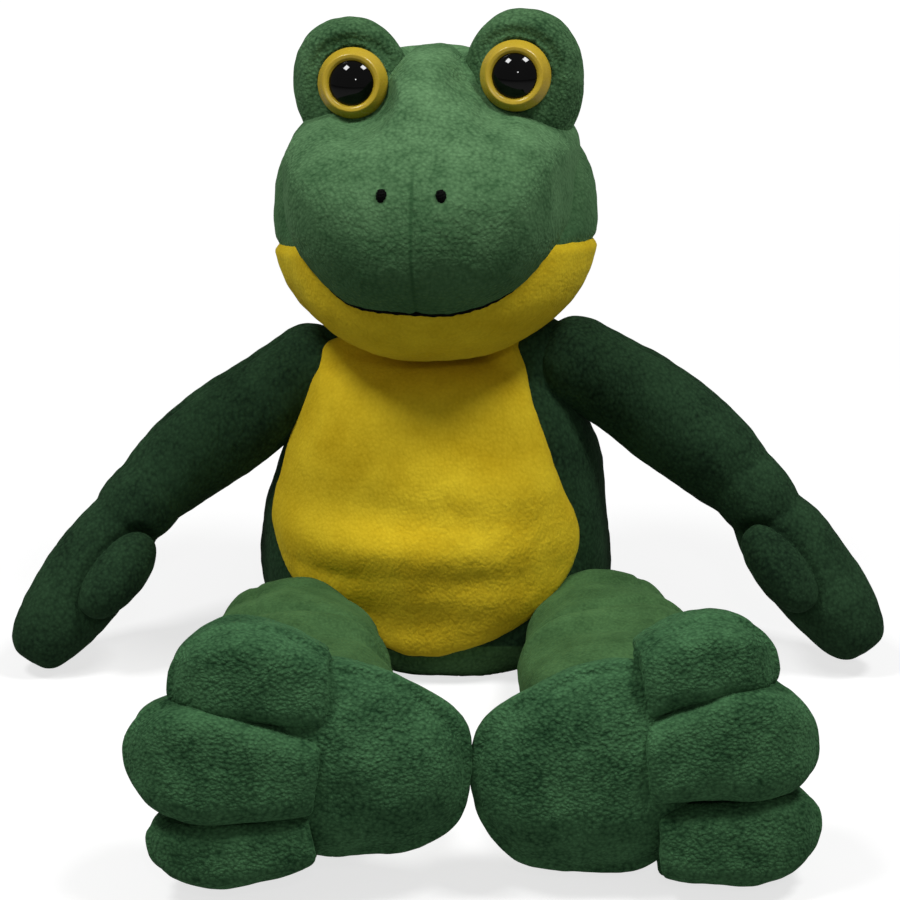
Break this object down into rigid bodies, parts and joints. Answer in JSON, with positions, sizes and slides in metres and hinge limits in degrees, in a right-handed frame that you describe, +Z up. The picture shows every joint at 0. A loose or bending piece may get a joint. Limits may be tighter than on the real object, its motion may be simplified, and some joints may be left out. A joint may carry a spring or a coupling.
{
  "type": "plush frog",
  "caption": "Sitting stuffed frog with a bean-filled seat, jointed soft neck, arms, legs and big three-toed feet.",
  "frame": {"origin": "middle of the flat seat, on the floor", "axes": "+Z up, the feet and the torso's front towards -Y, the frog's own left towards +X"},
  "size_m": [0.2511, 0.2212, 0.1902],
  "materials": {
    "dark_plush": "short-pile plush, matt",
    "mid_plush": "short-pile plush, matt",
    "pale_plush": "short-pile plush, matt",
    "yellow_plush": "short-pile plush, matt",
    "wadding": "loose polyester filling",
    "pouch_cloth": "plain woven cotton, matt",
    "yellow_plastic": "gloss",
    "black_plastic": "high gloss",
    "washer_plastic": "satin",
    "black_thread": "satin thread"
  },
  "bodies": {
    "torso": {"bean_pouch": "pouch_cloth", "belly_panel": "yellow_plush", "torso_back": "dark_plush", "torso_stuffing": "wadding"},
    "neck": {"neck": "dark_plush"},
    "head": {"eye_iris_left": "yellow_plastic", "eye_iris_right": "yellow_plastic", "eye_mound_left": "pale_plush", "eye_mound_right": "pale_plush", "eye_pupil_left": "black_plastic", "eye_pupil_right": "black_plastic", "eye_washer_left": "washer_plastic", "eye_washer_right": "washer_plastic", "head_back": "pale_plush", "head_stuffing": "wadding", "jaw_panel": "yellow_plush", "mouth_thread": "black_thread", "muzzle": "pale_plush", "nostril_left": "black_thread", "nostril_right": "black_thread"},
    "shoulder_left": {"shoulder_left": "dark_plush"},
    "upper_arm_left": {"upper_arm_left": "dark_plush"},
    "forearm_left": {"forearm_left": "dark_plush", "thumb_left": "dark_plush"},
    "leg_left": {"leg_left": "mid_plush"},
    "foot_left": {"foot_left": "mid_plush", "toe_lower_left": "mid_plush", "toe_middle_left": "mid_plush", "toe_upper_left": "mid_plush"},
    "shoulder_right": {"shoulder_right": "dark_plush"},
    "upper_arm_right": {"upper_arm_right": "dark_plush"},
    "forearm_right": {"forearm_right": "dark_plush", "thumb_right": "dark_plush"},
    "leg_right": {"leg_right": "mid_plush"},
    "foot_right": {"foot_right": "mid_plush", "toe_lower_right": "mid_plush", "toe_middle_right": "mid_plush", "toe_upper_right": "mid_plush"}
  },
  "joints": [
    {"name": "neck_turn", "type": "hinge", "parent": "torso", "child": "neck", "pos_m": [0.00174, 0.00576, 0.093], "axis": [0, 0, 1], "range_deg": [-35, 35]},
    {"name": "neck_nod", "type": "hinge", "parent": "neck", "child": "head", "pos_m": [0.00174, 0.00576, 0.093], "axis": [-0.9838, 0.1646, -0.0715], "range_deg": [-3, 20]},
    {"name": "shoulder_swing_left", "type": "hinge", "parent": "torso", "child": "shoulder_left", "pos_m": [0.03894, -0.00694, 0.0868], "axis": [-0.9744, 0.225, 0], "range_deg": [-6, 70]},
    {"name": "shoulder_raise_left", "type": "hinge", "parent": "shoulder_left", "child": "upper_arm_left", "pos_m": [0.03894, -0.00694, 0.0868], "axis": [-0.2419, -0.9703, 0], "range_deg": [-1, 70]},
    {"name": "elbow_bend_left", "type": "hinge", "parent": "upper_arm_left", "child": "forearm_left", "pos_m": [0.08903, -0.01943, 0.05052], "axis": [0.3761, 0.9212, -0.0998], "range_deg": [-15, 25]},
    {"name": "hip_lift_left", "type": "hinge", "parent": "torso", "child": "leg_left", "pos_m": [0.0455, -0.036, 0.017], "axis": [-1, 0, 0], "range_deg": [-40, 24]},
    {"name": "ankle_tip_left", "type": "hinge", "parent": "leg_left", "child": "foot_left", "pos_m": [0.033, -0.142, 0.026], "axis": [-1, 0, 0], "range_deg": [-15, 15]},
    {"name": "shoulder_swing_right", "type": "hinge", "parent": "torso", "child": "shoulder_right", "pos_m": [-0.03804, 0.01083, 0.0805], "axis": [-0.9744, 0.225, 0], "range_deg": [-6, 70]},
    {"name": "shoulder_raise_right", "type": "hinge", "parent": "shoulder_right", "child": "upper_arm_right", "pos_m": [-0.03804, 0.01083, 0.0805], "axis": [-0.3173, 0.9483, 0], "range_deg": [-1, 70]},
    {"name": "elbow_bend_right", "type": "hinge", "parent": "upper_arm_right", "child": "forearm_right", "pos_m": [-0.08878, -0.00615, 0.04706], "axis": [0.4327, -0.8981, 0.0783], "range_deg": [-15, 25]},
    {"name": "hip_lift_right", "type": "hinge", "parent": "torso", "child": "leg_right", "pos_m": [-0.0455, -0.036, 0.017], "axis": [-1, 0, 0], "range_deg": [-40, 24]},
    {"name": "ankle_tip_right", "type": "hinge", "parent": "leg_right", "child": "foot_right", "pos_m": [-0.033, -0.142, 0.026], "axis": [-1, 0, 0], "range_deg": [-15, 15]}
  ]
}
